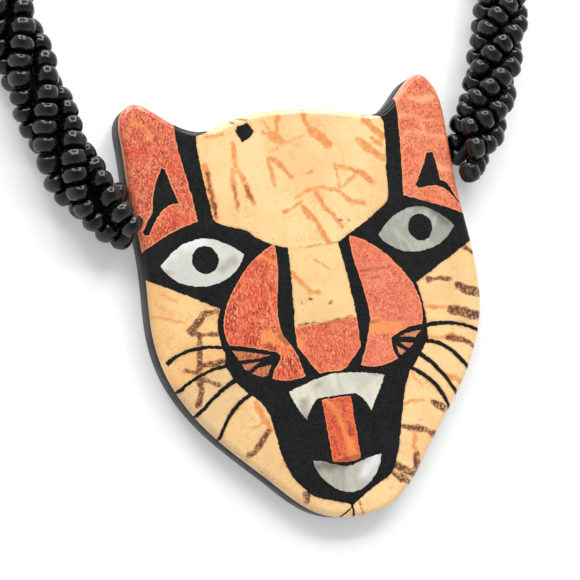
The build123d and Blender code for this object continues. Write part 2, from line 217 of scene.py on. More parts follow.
# Each side's rope: its route and length in mm, how far a strand goes in one turn, where its turn starts,
# and what hangs on its far end.
ropes = {
    "left": {
        "route": [(-24.8, 13.35), (-30.5, 16.35), (-33.85, 21.9), (-35.7, 28.9), (-37.6, 36.6),
                  (-39.7, 45.8), (-42.2, 58.0), (-44.0, 76.0), (-44.6, 95.0), (-43.0, 113.5),
                  (-38.4, 131.0), (-31.0, 147.0), (-21.5, 159.5)],
        "length": 156.7, "lead": 36.0, "phase": 0.11, "seed": 3,
        "fittings": ["left_end_cap", "left_eye_pin", "clasp_ring", "clasp_claw", "clasp_trigger",
                     "clasp_pivot_pin"]},
    "right": {
        "route": [(24.8, 17.0), (28.9, 20.2), (32.6, 26.0), (35.3, 32.4), (37.9, 39.6),
                  (40.7, 48.6), (43.6, 60.6), (45.4, 78.4), (45.5, 97.0), (43.0, 115.2),
                  (37.8, 132.0), (30.0, 147.2), (20.4, 159.4)],
        "length": 152.6, "lead": 25.0, "phase": 0.125, "seed": 8,
        "fittings": ["right_end_cap", "right_eye_pin", "tail_ring"]},
}
strandSet = {"ropeDiameter": 9.3, "strands": 4, "beadWidth": 3.9, "beadLength": 2.5, "gap": 0.04,
             "lengthSpread": (0.88, 1.12), "startSpread": (0.2, 1), "widthSpread": (0.9, 1.0), "tilt": 0.09,
             "squareness": (0.36, 0.58), "lumps": 0.05, "lobes": (2, 5), "wallClearance": 1.4,
             "capGap": 0.1, "around": 14, "along": 8, "helixSteps": 3000, "smoothing": 25,
             "threadWidth": 0.9, "coreWidth": 1.4, "threadStep": 1.5}


def routePath(rope):
    # The route's spline: a NURBS of order 3 through the route's points, read back as a polyline.
    curve = bpy.data.curves.new("route", "CURVE")
    curve.dimensions = "3D"
    spline = curve.splines.new("NURBS")
    spline.points.add(len(rope["route"]) - 1)
    height = strandSet["ropeDiameter"] / 2
    for point, (x, y) in zip(spline.points, rope["route"]):
        point.co = (x * mm, y * mm, height * mm, 1)
    spline.order_u = 3
    spline.use_endpoint_u = True
    spline.resolution_u = 16
    holder = bpy.data.objects.new("route", curve)
    line = bpy.data.meshes.new_from_object(holder)
    points = readOut(line.vertices, "co").astype(float) / mm
    bpy.data.objects.remove(holder)
    bpy.data.meshes.remove(line)
    return points


def alongPath(points, stations):
    # Points of a polyline at given distances along it.
    travelled = np.concatenate([[0], np.cumsum(np.linalg.norm(np.diff(points, axis=0), axis=1))])
    return np.stack([np.interp(stations, travelled, points[:, axis]) for axis in range(3)], axis=1)


def pathLength(points):
    # The sum of a polyline's steps.
    return float(np.linalg.norm(np.diff(points, axis=0), axis=1).sum())


def strandPath(points, rope, index, radius):
    # A helix about the route: the route's point plus radius times the turning cross direction.
    stations = np.linspace(0, pathLength(points), strandSet["helixSteps"])
    centre = alongPath(points, stations)
    width = strandSet["smoothing"]
    slope = np.gradient(centre, axis=0)
    slope = unit(np.stack([np.convolve(np.pad(slope[:, axis], width // 2, "edge"), np.ones(width) / width,
                                       "valid") for axis in range(3)], axis=1))
    across = np.stack([-slope[:, 1], slope[:, 0], slope[:, 2]], axis=1)
    upward = np.array([0.0, 0.0, 1.0])
    angle = (2 * np.pi * (index / strandSet["strands"] + rope["phase"] + stations / rope["lead"]))[:, None]
    return centre + radius * (np.cos(angle) * across + np.sin(angle) * upward)


def closedTube(rows, around):
    # Quads between rows of vertices, and fans that join the end rows to two last vertices.
    here = np.arange(around)
    beside = (here + 1) % around
    starts = np.arange(rows - 1)[:, None] * around
    quads = np.stack([starts + here, starts + around + here, starts + around + beside, starts + beside],
                     axis=-1).reshape(-1, 4)
    first, end = rows * around, (rows - 1) * around
    caps = np.concatenate([np.stack([np.full(around, first), here, beside], axis=1),
                           np.stack([np.full(around, first + 1), end + beside, end + here], axis=1)])
    return quads, caps


def tubeAlong(line, radius, around=6):
    # A circle carried along a polyline, closed by its two end points.
    ahead = unit(np.gradient(line, axis=0))
    side = unit(np.cross(ahead, [0.0, 0.0, 1.0]))
    third = np.cross(side, ahead)
    turn = np.linspace(0, 2 * np.pi, around, endpoint=False)[None, :, None]
    rings = line[:, None] + radius * (np.cos(turn) * side[:, None] + np.sin(turn) * third[:, None])
    return np.concatenate([rings.reshape(-1, 3), line[[0, -1]]]), *closedTube(len(line), around)


def beadShape():
    # One bead's vertices: the cosine and the sine of an angle that runs from end to end say how far along
    # the hole each is and how wide the bead is there; a turn round the hole places it. Its faces follow.
    around, along = strandSet["around"], strandSet["along"]
    polar = np.linspace(0, np.pi, along + 1)[1:-1]
    turn = np.linspace(0, 2 * np.pi, around, endpoint=False)
    deep = np.concatenate([np.repeat(np.cos(polar), around), [1, -1]])
    wide = np.concatenate([np.repeat(np.sin(polar), around), [0, 0]])
    turns = np.concatenate([np.tile(turn, along - 1), [0, 0]])
    return deep, wide, turns, *closedTube(along - 1, around)


def beadPlaces(strand, rng, wallLine):
    # Beads one after another along a strand, the last against the end cap: middles, directions, lengths.
    total = pathLength(strand)
    pitch = strandSet["beadLength"] + strandSet["gap"]
    steps = pitch * rng.uniform(*strandSet["lengthSpread"], int(total / pitch) + 8)
    middles = np.cumsum(steps) - 1.5 * pitch * rng.uniform(*strandSet["startSpread"])
    lengths = (np.roll(steps, -1) + steps) / 2 - strandSet["gap"]
    keep = middles + lengths / 2 < total
    middles, lengths = middles[keep], lengths[keep]
    middles += total - strandSet["capGap"] - middles[-1] - lengths[-1] / 2
    places = alongPath(strand, middles)
    before, after = np.maximum(middles - 0.5, 0), np.minimum(middles + 0.5, total)  # Half a mm each way.
    ahead = alongPath(strand, after) - alongPath(strand, before)
    ahead = unit(ahead + rng.normal(0, strandSet["tilt"], ahead.shape))
    clear = ~insideLoop(places[:, :2], wallLine) & (
        distanceTo(places[:, :2], wallLine) > strandSet["wallClearance"])
    return places[clear], ahead[clear], lengths[clear]


def beadRope(name, rope, wallLine):
    # Beads on four helices. Each bead has its own widths, a power of its sine that squares its shoulders,
    # and a few lobes round it. A thread runs through each strand and a core through the rope's middle.
    rng = np.random.default_rng(rope["seed"])
    points = routePath(rope)
    radius = strandSet["beadWidth"] / 2
    offset = strandSet["ropeDiameter"] / 2 - radius
    deep, wide, turns, quads, caps = beadShape()
    vertices, tones, threads = [], [], []
    for index in range(strandSet["strands"]):
        strand = strandPath(points, rope, index, offset)
        places, ahead, lengths = beadPlaces(strand, rng, wallLine)
        count = len(places)
        side = unit(np.cross(ahead, [0.0, 0.0, 1.0]))
        third = np.cross(ahead, side)
        width = radius * rng.uniform(*strandSet["widthSpread"], (count, 2))
        power = rng.uniform(*strandSet["squareness"], count)[:, None]
        swell = 1 - strandSet["lumps"] * (1 + np.cos(
            rng.integers(*strandSet["lobes"], count)[:, None] * turns + rng.uniform(0, 6, count)[:, None]))
        across = wide ** power * swell
        local = np.stack([deep * lengths[:, None] / 2, across * np.cos(turns) * width[:, :1],
                          across * np.sin(turns) * width[:, 1:]], axis=-1)
        placed = (places[:, None] + local[..., :1] * ahead[:, None] + local[..., 1:2] * side[:, None]
                  + local[..., 2:] * third[:, None])
        vertices.append(placed.reshape(-1, 3))
        tones.append(np.repeat(rng.uniform(0, 1, count), len(deep)))
        thread = strand[np.linalg.norm(strand - places[0], axis=1).argmin():]
        thread = alongPath(thread, np.arange(0, pathLength(thread), strandSet["threadStep"]))
        threads.append(tubeAlong(thread, strandSet["threadWidth"] / 2))
    core = points[~insideLoop(points[:, :2], wallLine)]
    core = alongPath(core, np.arange(0.5, pathLength(core), strandSet["threadStep"]))
    threads.append(tubeAlong(core, strandSet["coreWidth"] / 2))
    vertices = np.concatenate(vertices)
    beads = (np.arange(len(vertices) // len(deep)) * len(deep))[:, None, None]
    faces = [(quads[None] + beads).reshape(-1, 4), (caps[None] + beads).reshape(-1, 3)]
    beadFaces = sum(len(group) for group in faces)
    used = len(vertices)
    parts = [vertices]
    for tube, tubeQuads, tubeCaps in threads:
        faces += [tubeQuads + used, tubeCaps + used]
        parts.append(tube)
        used += len(tube)
    piece = meshFrom(name, np.concatenate(parts), faces)
    floatAttribute(piece, "tone", np.concatenate([*tones, np.zeros(used - len(vertices))]))
    isThread = np.arange(len(piece.data.polygons)) >= beadFaces
    piece.data.polygons.foreach_set("material_index", isThread.astype(np.int32))
    return piece, points


# The pendant's sizes in mm, as its CAD nodes have them, and how finely its face is cut.
pendantSet = {"thickness": 4.8, "inlayDepth": 1.0, "rim": 0.9, "backChamfer": 0.3, "outlineStep": 0.25,
              "edgeStep": 0.14, "gridStep": 0.36, "gridMargin": 0.5, "rimGap": 0.12, "rimRings": 7,
              "atRim": 0.06, "pastRim": 0.5, "ragged": 0.095, "sawMarks": ((0.34, 0.8), (1.3, 0.5)),
              "fade": (0.1, 0.5), "cornerAngle": 28.0, "inlaySharp": 50, "bodySharp": 40}
nearly = 0.004  # Heights and points of a CAD mesh that are this near, in mm, count as the same.
blockSize = 2000
frontHeight = pendantSet["thickness"]
floorHeight = frontHeight - pendantSet["inlayDepth"]
inlayNames = sorted(name for name, node in nodes.items()
                    if name not in ("resin_body", "stringing_cord")
                    and abs(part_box(name)[0].z / mm - floorHeight) < 2 * nearly
                    and abs(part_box(name)[1].z / mm - frontHeight) < 2 * nearly)


def sides(triangles):
    # Each triangle's three edges, in its own direction.
    return np.concatenate([triangles[:, [0, 1]], triangles[:, [1, 2]], triangles[:, [2, 0]]])


def cut(points, edges, faces):
    # A triangulation of the plane that keeps given edges and tells which faces each triangle is in.
    found = delaunay_2d_cdt([Vector(point) for point in points.tolist()], edges, faces, 0, 1e-7, True)
    return found[0], found[2], found[5]


def nodeLoops(name, height, lowest):
    # The closed outlines that bound a CAD node's triangles between a lowest height and this one, in mm.
    data = nodes[name].data
    vertices = readOut(data.vertices, "co").astype(float) / mm
    data.calc_loop_triangles()
    triangles = readOut(data.loop_triangles, "vertices", np.int32)
    heights = vertices[triangles][:, :, 2]
    chosen = (heights < height + nearly).all(1) & (heights > lowest - nearly).all(1)
    first, names = np.unique(np.round(vertices * 2 / nearly).astype(int), axis=0,
                             return_index=True, return_inverse=True)[1:]
    corners = names.reshape(-1)[triangles[chosen]]
    corners = corners[(corners != np.roll(corners, -1, axis=1)).all(1)]
    forward = set(map(tuple, sides(corners).tolist()))
    border = {a: b for a, b in forward if (b, a) not in forward}
    loops = []
    while border:
        start, here = next(iter(border.items()))
        del border[start]
        loop = [start]
        while here != start and here in border:
            loop.append(here)
            here = border.pop(here)
        if len(loop) > 2 and abs(vertices[first[start], 2] - height) < nearly:
            loops.append(vertices[first[loop], :2])
    return loops


def resampled(loop, step):
    # The loop with smooth stretches redrawn by a Catmull-Rom curve and its corners kept.
    loop = loop[np.linalg.norm(loop - np.roll(loop, 1, axis=0), axis=1) > nearly]
    before, after = loop - np.roll(loop, 1, axis=0), np.roll(loop, -1, axis=0) - loop
    before, after = (steps[:, 0] + 1j * steps[:, 1] for steps in (before, after))
    corner = np.degrees(np.abs(np.angle(after / before))) > pendantSet["cornerAngle"]
    count = len(loop)
    pieces = []
    for index in range(count):
        p1, p2 = loop[index], loop[(index + 1) % count]
        p0 = 2 * p1 - p2 if corner[index] else loop[index - 1]
        p3 = 2 * p2 - p1 if corner[(index + 1) % count] else loop[(index + 2) % count]
        span = np.linalg.norm(p2 - p1)
        parts = max(1, round(span / step))
        t = (np.arange(parts) / parts)[:, None]
        reach = [max(np.linalg.norm(b - a), 1e-6) for a, b in ((p0, p1), (p1, p2), (p2, p3))]
        m1 = span * ((p1 - p0) / reach[0] + (p2 - p1) / reach[1]) / 2
        m2 = span * ((p2 - p1) / reach[1] + (p3 - p2) / reach[2]) / 2
        pieces.append((2 * t ** 3 - 3 * t ** 2 + 1) * p1 + (t ** 3 - 2 * t ** 2 + t) * m1
                      + (-2 * t ** 3 + 3 * t ** 2) * p2 + (t ** 3 - t ** 2) * m2)
    return np.concatenate(pieces)


def distanceTo(points, line, closed=True):
    # Least distance from each point to a polyline, worked in blocks.
    start, end = (line, np.roll(line, -1, axis=0)) if closed else (line[:-1], line[1:])
    edge = end - start
    size = np.maximum((edge ** 2).sum(1), 1e-12)
    found = np.empty(len(points))
    for low in range(0, len(points), blockSize):
        block = points[low:low + blockSize, None]
        share = np.clip(((block - start) * edge).sum(2) / size, 0, 1)
        nearest = start + share[..., None] * edge
        found[low:low + blockSize] = np.sqrt(((nearest - block) ** 2).sum(2).min(1))
    return found


outlineLoop = resampled(max(nodeLoops("resin_body", pendantSet["backChamfer"], 0), key=len),
                        pendantSet["outlineStep"])


def inwardLoop(loop, gap):
    # The loop moved inwards by a gap, along the average of its neighbours' directions.
    along = unit(np.roll(loop, -1, axis=0) - np.roll(loop, 1, axis=0))
    return loop + gap * np.stack([-along[:, 1], along[:, 0]], axis=1)


def anticlockwise(loop):
    # The shoelace formula's area is above zero when a loop already runs that way.
    following = np.roll(loop, -1, axis=0)
    area = (loop[:, 0] * following[:, 1] - following[:, 0] * loop[:, 1]).sum()
    return loop if area > 0 else loop[::-1]


def frayed(loop, clear):
    # Ragged saw marks: two sizes of noise move each point, fading out at the pendant's rim.
    start, width = pendantSet["fade"]
    strength = pendantSet["ragged"] * np.clip((clear - start) / width, 0, 1)[:, None]
    push = [sum(softNoise(*loop.T, size, seed + 5 * order) * share
                for order, (size, share) in enumerate(pendantSet["sawMarks"])) for seed in (11, 12)]
    return loop + strength * np.stack(push, axis=1)


def gridPoints(outline):
    # A triangular grid inside the rounded rim: rows 0.866 of a step apart, every second one moved by half.
    margin, step = pendantSet["gridMargin"], pendantSet["gridStep"]
    low, high = outline.min(0) + margin, outline.max(0) - margin
    columns, rows = (np.arange(low[axis], high[axis], step * share) for axis, share in ((0, 1), (1, 0.866)))
    grid = np.stack(np.meshgrid(columns, rows), axis=-1)
    grid[1::2, :, 0] += step / 2
    grid = grid.reshape(-1, 2)
    grid = grid[insideLoop(grid, outline)]
    return grid[distanceTo(grid, outline) > pendantSet["rim"] + pendantSet["rimGap"]]


def splitFace():
    # One triangulation of the whole face; each triangle belongs to one inlay or to the resin. Loop 0 is the
    # outline. The rings after it only carry the rim's curve, and then come the inlays' own loops.
    # An inlay's edge that reaches the rim is pushed past it, and the outline trims it there.
    outline = anticlockwise(outlineLoop)
    loops, owners = [outline], [-1]
    for angle in np.linspace(0, np.pi / 2, pendantSet["rimRings"] + 1)[1:]:
        loops.append(inwardLoop(outline, pendantSet["rim"] * (1 - math.cos(angle))))
        owners.append(-2)
    for number, name in enumerate(inlayNames):
        for loop in nodeLoops(name, floorHeight, floorHeight):
            fine = anticlockwise(resampled(loop, pendantSet["edgeStep"]))
            clear = distanceTo(fine, outline)
            along = np.roll(fine, -1, axis=0) - np.roll(fine, 1, axis=0)
            along /= np.linalg.norm(along, axis=1)[:, None] + 1e-9
            outward = np.stack([along[:, 1], -along[:, 0]], axis=1)
            past = fine + pendantSet["pastRim"] * outward
            fine = np.where((clear < pendantSet["atRim"])[:, None], past, frayed(fine, clear))
            loops.append(fine)
            owners.append(number)
    starts = np.cumsum([0] + [len(loop) for loop in loops])
    points = np.concatenate(loops + [gridPoints(outline)])
    edges, faces = [], []
    for start, loop in zip(starts, loops):
        span = np.arange(len(loop)) + start
        edges.append(np.stack([span, np.roll(span, -1)], axis=1))
        faces.append(span.tolist())
    ringCount = pendantSet["rimRings"]
    asFaces = [0] + list(range(1 + ringCount, len(loops)))
    spots, triangles, origins = cut(points, np.concatenate(edges[1:1 + ringCount]).tolist(),
                                    [faces[index] for index in asFaces])
    spots, triangles = np.array([tuple(spot) for spot in spots]), np.array(triangles)
    label = np.full(len(triangles), -1)
    # Inside the outline, a triangle is an inlay's where an odd number of its loops are round it.
    for index, sources in enumerate(origins):
        if 0 not in sources:
            continue
        counts = [owners[asFaces[source]] for source in sources if source != 0]
        odd = [owner for owner in set(counts) if counts.count(owner) % 2]
        label[index] = odd[0] + 1 if odd else 0
    keep = label >= 0
    return spots, triangles[keep], label[keep], outline


def insideLoop(points, loop):
    # Even-odd rule: a point is inside if a line to its right crosses the loop an odd number of times.
    start, end = loop, np.roll(loop, -1, axis=0)
    found = np.empty(len(points), bool)
    for low in range(0, len(points), blockSize):
        x, y = points[low:low + blockSize, 0, None], points[low:low + blockSize, 1, None]
        crosses = (start[:, 1] > y) != (end[:, 1] > y)
        rise = np.where(start[:, 1] == end[:, 1], 1, end[:, 1] - start[:, 1])
        at = start[:, 0] + (y - start[:, 1]) / rise * (end[:, 0] - start[:, 0])
        found[low:low + blockSize] = (crosses & (at > x)).sum(1) % 2 == 1
    return found


spots, faceTriangles, faceLabels, outline = splitFace()
clearance = np.full(len(spots), pendantSet["rim"])
used = np.unique(faceTriangles)
clearance[used] = distanceTo(spots[used], outline)
sunk = np.clip(pendantSet["rim"] - clearance, 0, pendantSet["rim"])
topHeights = frontHeight - pendantSet["rim"] + np.sqrt(np.maximum(pendantSet["rim"] ** 2 - sunk ** 2, 0))
print("face split:", len(spots), "points", len(faceTriangles), "triangles", len(set(faceLabels)), "labels")


def borderEdges(triangles):
    # Directed edges that only one triangle of the group has.
    edges = sides(triangles)
    size = triangles.max() + 1
    forward, backward = edges[:, 0] * size + edges[:, 1], edges[:, 1] * size + edges[:, 0]
    return edges[~np.isin(forward, backward)]


def wall(edges, lower, upper):
    # Upright quads between two rows of vertices along directed edges, facing away from the edges' left.
    return np.stack([lower[edges[:, 0]], lower[edges[:, 1]], upper[edges[:, 1]], upper[edges[:, 0]]], axis=1)


def makeInlay(number, name):
    # Its share of the face over the pocket's floor, joined by a wall. Also gives its place on the drawing.
    triangles = faceTriangles[faceLabels == number + 1]
    kept, local = np.unique(triangles, return_inverse=True)
    local = local.reshape(-1, 3)
    count = len(kept)
    top = np.column_stack([spots[kept], topHeights[kept]])
    under = np.column_stack([spots[kept], np.full(count, floorHeight)])
    edges = borderEdges(local)
    rows = np.arange(count)
    piece = meshFrom(name + "_inlay", np.concatenate([top, under]),
                     [local, local[:, ::-1] + count, wall(edges, rows + count, rows)])
    piece.data.set_sharp_from_angle(angle=math.radians(pendantSet["inlaySharp"]))
    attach(piece, "necklace")
    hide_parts(name)
    border = top[np.unique(edges), :2]
    inset = np.sqrt(((top[:, None, :2] - border[None]) ** 2).sum(2).min(1))
    floatAttribute(piece, "inset", np.concatenate([inset, inset]))
    return piece, np.concatenate([spots[kept], spots[kept]]) - drawingOrigin


def makeBody():
    # The resin: its own share of the face, the pockets' floors, the wall, the chamfer and the back.
    whole = np.unique(faceTriangles)
    place = np.zeros(len(spots), int)
    place[whole] = np.arange(len(whole))
    count = len(whole)
    flat = spots[whole]
    local = place[faceTriangles]
    resin, pockets = local[faceLabels == 0], local[faceLabels > 0]
    edges = borderEdges(local)
    loop = orderedLoop(edges)
    top = np.column_stack([flat, topHeights[whole]])
    floorRow = np.column_stack([flat, np.full(count, floorHeight)])
    chamfer = pendantSet["backChamfer"]
    lower = np.column_stack([flat[loop], np.full(len(loop), chamfer)])
    inner = inwardLoop(flat[loop], chamfer)
    back = np.column_stack([inner, np.zeros(len(loop))])
    fill = cut(inner, [], [list(range(len(loop)))])
    backTriangles = np.array([triangle for triangle, sources in zip(*fill[1:]) if sources])
    rows = np.arange(count)
    ring = np.arange(len(loop))
    ringEdges = np.stack([ring, np.roll(ring, -1)], axis=1)
    vertices = np.concatenate([top, floorRow, lower, back])
    faces = [resin, pockets + count, wall(borderEdges(resin), rows + count, rows),
             wall(ringEdges, 2 * count + ring, count + loop),
             wall(ringEdges, 2 * count + len(loop) + ring, 2 * count + ring),
             backTriangles[:, ::-1] + 2 * count + len(loop)]
    piece = meshFrom("cast_resin_body", vertices, faces)
    piece.data.set_sharp_from_angle(angle=math.radians(pendantSet["bodySharp"]))
    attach(piece, "necklace")
    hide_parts("resin_body")
    return piece


def orderedLoop(edges):
    # The border's vertices in order: each edge ends where the next one starts.
    following = dict(edges.tolist())
    start = here = edges[0, 0]
    loop = [start]
    while following[here] != start:
        here = following[here]
        loop.append(here)
    return np.array(loop)


inlays = {}
for number, name in enumerate(inlayNames):
    inlays[name] = makeInlay(number, name)
body = makeBody()
print("pendant pieces made:", len(inlays) + 1)

for side, rope in ropes.items():
    rope["piece"], rope["points"] = beadRope(f"{side}_bead_rope", rope, outlineLoop)
    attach(rope["piece"], "necklace")
    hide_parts(f"{side}_rope")
    outside = rope["points"][~insideLoop(rope["points"][:, :2], outlineLoop)] * mm
    print(side, "rope", round(pathLength(rope["points"]), 1), "mm long")

# Markings are drawn on the face's own drawing, in mm: a half width, then the points it runs through.
warmMarks = [
    (0.24, [(5.9, 16.1), (7.5, 15.5), (9.0, 15.0)]), (0.34, [(8.9, 14.9), (10.0, 14.3), (10.7, 13.6)]),
    (0.16, [(10.7, 13.6), (11.8, 12.8)]), (0.42, [(10.0, 19.4), (11.5, 18.3), (12.4, 17.4), (13.7, 16.4)]),
    (0.5, [(11.8, 22.6), (12.9, 21.2), (14.2, 19.8)]), (0.3, [(12.3, 19.8), (13.8, 18.6)]),
    (0.32, [(2.0, 25.2), (2.2, 23.5), (2.6, 22.0), (3.1, 21.0)]),
    (0.5, [(2.7, 21.6), (4.3, 20.5), (5.4, 19.3)]), (0.3, [(-2.0, 24.0), (-2.5, 22.0), (-2.3, 20.2)]),
    (0.42, [(-3.4, 21.4), (-2.0, 20.2)]), (0.2, [(-4.8, 22.0), (-3.2, 21.4)]),
    (0.1, [(-4.6, 23.9), (-3.5, 22.4)]), (0.1, [(-4.1, 19.0), (-1.5, 20.0), (1.9, 21.1)]),
    (0.24, [(-4.5, 18.0), (-4.4, 16.0), (-4.3, 14.0)]), (0.26, [(-3.9, 18.2), (-2.9, 17.0), (-1.5, 15.0)]),
    (0.1, [(0.4, 15.5), (1.2, 15.3), (2.0, 15.5)]), (0.18, [(5.8, 15.8), (5.9, 13.0)]),
    (0.18, [(6.5, 12.9), (8.5, 14.3)]), (0.2, [(-1.4, 12.0), (1.0, 12.9), (3.0, 13.0), (4.6, 12.8)]),
    (0.3, [(4.6, 12.7), (5.9, 12.3), (6.7, 11.1), (7.6, 10.4), (9.2, 10.1)]),
    (0.16, [(-3.6, 10.0), (-2.0, 10.5), (-0.4, 11.4)]), (0.3, [(-0.4, 10.5), (0.5, 8.9), (1.5, 7.8)]),
    (0.3, [(1.5, 7.8), (2.1, 6.1), (2.5, 4.9)]), (0.26, [(2.1, 12.1), (3.0, 10.1), (4.2, 8.5), (5.2, 7.0)]),
    (0.28, [(-9.7, 20.7), (-9.8, 18.5), (-9.6, 16.6)]), (0.34, [(-10.4, 16.8), (-10.6, 14.0), (-10.5, 11.2)]),
    (0.34, [(-9.4, 16.8), (-8.6, 14.2), (-7.8, 11.8)]), (0.4, [(-14.4, 17.8), (-14.0, 13.2), (-13.9, 10.4)]),
    (0.2, [(-13.8, 22.4), (-11.0, 22.2)]), (0.28, [(-4.0, 1.2), (-2.4, -0.8), (-1.5, -2.0), (0.0, -2.3)]),
    (0.14, [(0.0, 2.5), (2.1, 1.0)]), (0.14, [(-25.6, -2.5), (-23.0, -3.2), (-21.0, -4.1)]),
    (0.12, [(-24.0, 0.5), (-21.5, -1.0)]), (0.3, [(-12.8, -16.5), (-11.8, -18.5), (-11.2, -20.6)]),
    (0.14, [(-13.8, -20.0), (-12.0, -19.4)]), (0.2, [(11.0, -24.5), (10.6, -26.5), (10.3, -28.4)]),
    (0.16, [(10.2, -20.0), (13.3, -20.1)]), (0.3, [(17.5, -17.0), (20.0, -18.3)]),
    (0.3, [(16.0, -11.0), (20.0, -11.5), (22.5, -12.6)]), (0.22, [(16.0, -6.4), (20.0, -7.0), (22.0, -8.0)]),
    (0.14, [(12.0, -15.5), (13.5, -18.0)]), (0.14, [(-8.4, -22.6), (-10.2, -26.0)]),
    (0.16, [(-6.4, -27.0), (-7.4, -29.8)]),
]
darkMarks = [
    (0.04, [(8.4, 15.2), (10.0, 14.3), (11.2, 13.2)]), (0.04, [(11.6, 18.1), (13.3, 16.8)]),
    (0.14, [(-10.6, 14.6), (-10.6, 12.8), (-10.5, 11.4)]), (0.16, [(-8.8, 14.4), (-8.3, 13.2), (-7.9, 12.1)]),
    (0.2, [(-14.3, 17.0), (-14.0, 13.2), (-13.8, 10.6)]), (0.1, [(-8.2, 7.7), (-8.0, 7.6)]),
    (0.12, [(-6.0, 6.3), (-5.8, 6.2)]), (0.16, [(4.9, 8.1), (5.2, 7.9)]), (0.14, [(6.4, 7.8), (6.6, 7.7)]),
    (0.12, [(4.2, 7.2), (4.4, 7.1)]), (0.1, [(5.3, 6.9), (5.5, 6.8)]), (0.2, [(-9.3, 23.9), (-9.0, 23.7)]),
    (0.24, [(-8.0, 24.4), (-7.2, 24.0)]), (0.14, [(-3.1, -3.3), (-2.9, -3.3)]),
    (0.16, [(-1.9, -3.0), (-1.6, -3.1)]), (0.14, [(1.1, -4.0), (1.4, -3.9)]),
    (0.3, [(-18.5, -3.0), (-16.2, -3.1)]), (0.42, [(-18.6, -3.4), (-19.5, -4.4), (-20.4, -5.3)]),
    (0.22, [(-19.5, -6.0), (-16.5, -6.2)]),
    (0.34, [(-19.2, -6.0), (-19.7, -8.0), (-20.0, -10.0), (-20.5, -11.0)]),
    (0.24, [(-20.0, -10.4), (-16.4, -10.0)]), (0.24, [(-22.3, -10.5), (-20.5, -11.2)]),
    (0.36, [(-20.2, -12.1), (-20.4, -14.0), (-21.1, -15.5)]), (0.26, [(-19.8, -12.2), (-17.6, -13.3)]),
    (0.3, [(-11.5, -21.0), (-13.2, -22.5), (-15.0, -23.8)]), (0.38, [(-7.4, -30.2), (-7.6, -31.2)]),
    (0.34, [(24.6, 1.6), (25.7, 0.6)]), (0.3, [(17.4, -2.5), (19.5, -2.6), (21.3, -3.0)]),
    (0.48, [(22.2, -4.0), (24.0, -5.0), (25.4, -5.6)]),
    (0.5, [(20.4, -7.4), (21.8, -7.9), (23.2, -8.5), (24.5, -9.0)]),
    (0.36, [(19.0, -11.6), (21.6, -12.2), (22.9, -13.2)]), (0.4, [(15.0, -20.7), (16.4, -21.8)]),
    (0.3, [(9.3, -23.2), (11.0, -24.0), (12.8, -24.5), (14.4, -25.3)]),
    (0.32, [(10.6, -27.8), (10.5, -29.2), (9.8, -31.0)]), (0.42, [(6.6, -28.4), (9.2, -30.4)]),
    (0.38, [(6.5, -29.9), (8.9, -31.7)]), (0.12, [(0.4, -32.9), (0.9, -34.7)]),
    (0.14, [(7.0, 0.1), (9.5, 0.0), (12.0, 0.2)]), (0.1, [(8.0, -1.2), (10.0, -1.0)]),
    (0.1, [(6.9, -7.6), (8.0, -7.7), (9.1, -7.4)]), (0.12, [(-4.4, -6.5), (0.0, -6.7), (4.4, -6.4)]),
    (0.3, [(-7.2, -7.6), (-6.4, -8.8)]), (0.3, [(-9.4, -8.9), (-8.4, -9.6)]),
    (0.24, [(0.9, -22.6), (1.1, -23.2)]), (0.16, [(-8.0, -11.1), (-7.2, -12.2), (-6.8, -14.0)]),
    (0.16, [(-6.6, -11.6), (-5.8, -13.0), (-5.4, -14.6)]), (0.5, [(16.9, 9.3), (19.7, 8.6), (22.6, 5.6)]),
    (0.5, [(-5.5, -17.6), (-5.6, -19.8)]), (0.3, [(6.3, -14.7), (7.8, -14.9)]),
    (0.14, [(-3.2, -15.7), (-2.5, -15.2)]),
    (0.4, [(-5.2, -26.8), (-3.1, -27.1), (-1.0, -27.2), (1.2, -26.6)]), (0.35, [(-24.3, 4.2), (-22.4, 3.3)]),
    (0.4, [(-12.4, 3.9), (-14.4, 3.0)]),
]
glowMarks = [
    (0.3, [(-9.6, 5.0), (-7.6, 3.6), (-6.2, 2.6)]), (0.7, [(-9.5, -7.6), (-7.0, -8.2), (-4.8, -9.0)]),
    (0.8, [(7.0, -8.2), (9.0, -8.4), (11.0, -8.8)]), (0.25, [(-24.0, 25.4), (-22.2, 24.2), (-21.6, 22.8)]),
    (0.3, [(-2.0, -18.0), (-0.5, -20.0), (0.0, -22.0), (0.3, -24.0)]), (0.5, [(0.4, -24.4), (0.9, -26.6)]),
    (0.16, [(17.0, 19.2), (18.8, 20.0), (20.6, 19.9), (22.2, 19.2), (24.4, 18.6)]),
    (0.14, [(17.4, 22.6), (19.4, 22.6), (20.9, 21.8), (21.4, 20.0)]), (0.12, [(21.0, 21.6), (22.8, 21.6)]),
    (0.3, [(20.0, 25.2), (21.8, 24.8), (23.6, 25.0)]), (0.24, [(21.0, 15.5), (23.0, 14.0), (25.0, 13.6)]),
    (0.6, [(2.0, -29.2), (3.5, -27.7), (4.5, -26.4)]), (0.6, [(-24.0, 5.4), (-20.6, 7.0), (-16.6, 7.4)]),
]
# How far noise moves a marking's line and swells its width, each with the size of its waves in mm.
markSet = {"wander": 0.22, "wanderSize": 0.8, "fullness": 1.4, "swell": 0.35, "swellSize": 1.1, "reach": 3.0}


